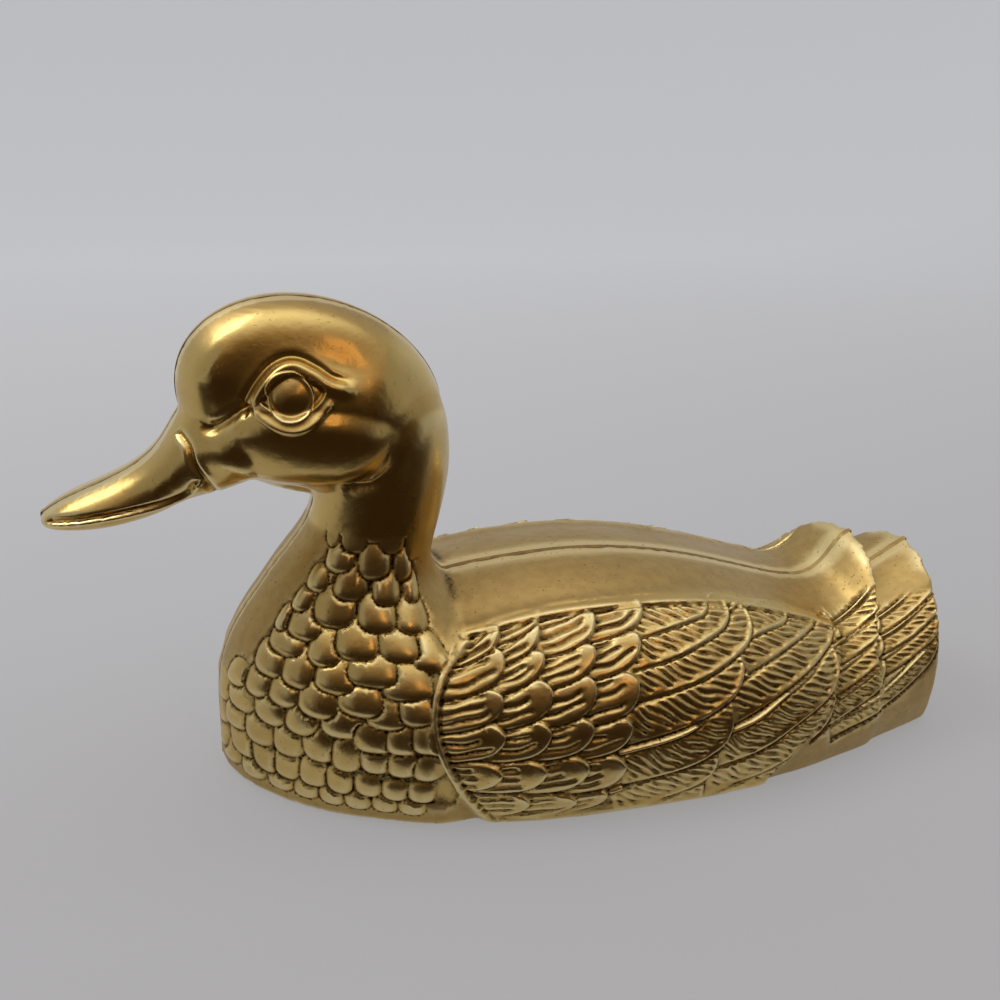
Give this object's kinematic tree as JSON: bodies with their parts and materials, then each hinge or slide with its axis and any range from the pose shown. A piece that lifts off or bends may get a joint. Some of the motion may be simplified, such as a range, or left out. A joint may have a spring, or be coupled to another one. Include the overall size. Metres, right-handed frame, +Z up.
{
  "type": "cast brass duck figurine",
  "caption": "Hollow cast brass duck sitting low, with a scaled breast, feathered wing panels, curled tail lips and an open underside.",
  "frame": {"origin": "on the plane the duck rests on, under the middle of its length and width", "axes": "+X towards the tail, bill towards -X, +Y to the duck's right side, +Z up"},
  "size_m": [0.305, 0.1292, 0.1562],
  "materials": {
    "cast_brass": "aged polished brass with dark patina in the recesses",
    "braze_filler": "dull, darkened brazing filler ground flush"
  },
  "bodies": {
    "root": {"left_casting": "cast_brass", "right_casting": "cast_brass", "breast_braze": "braze_filler", "throat_braze": "braze_filler", "head_braze": "braze_filler", "back_braze": "braze_filler", "tail_braze": "braze_filler"}
  },
  "joints": []
}
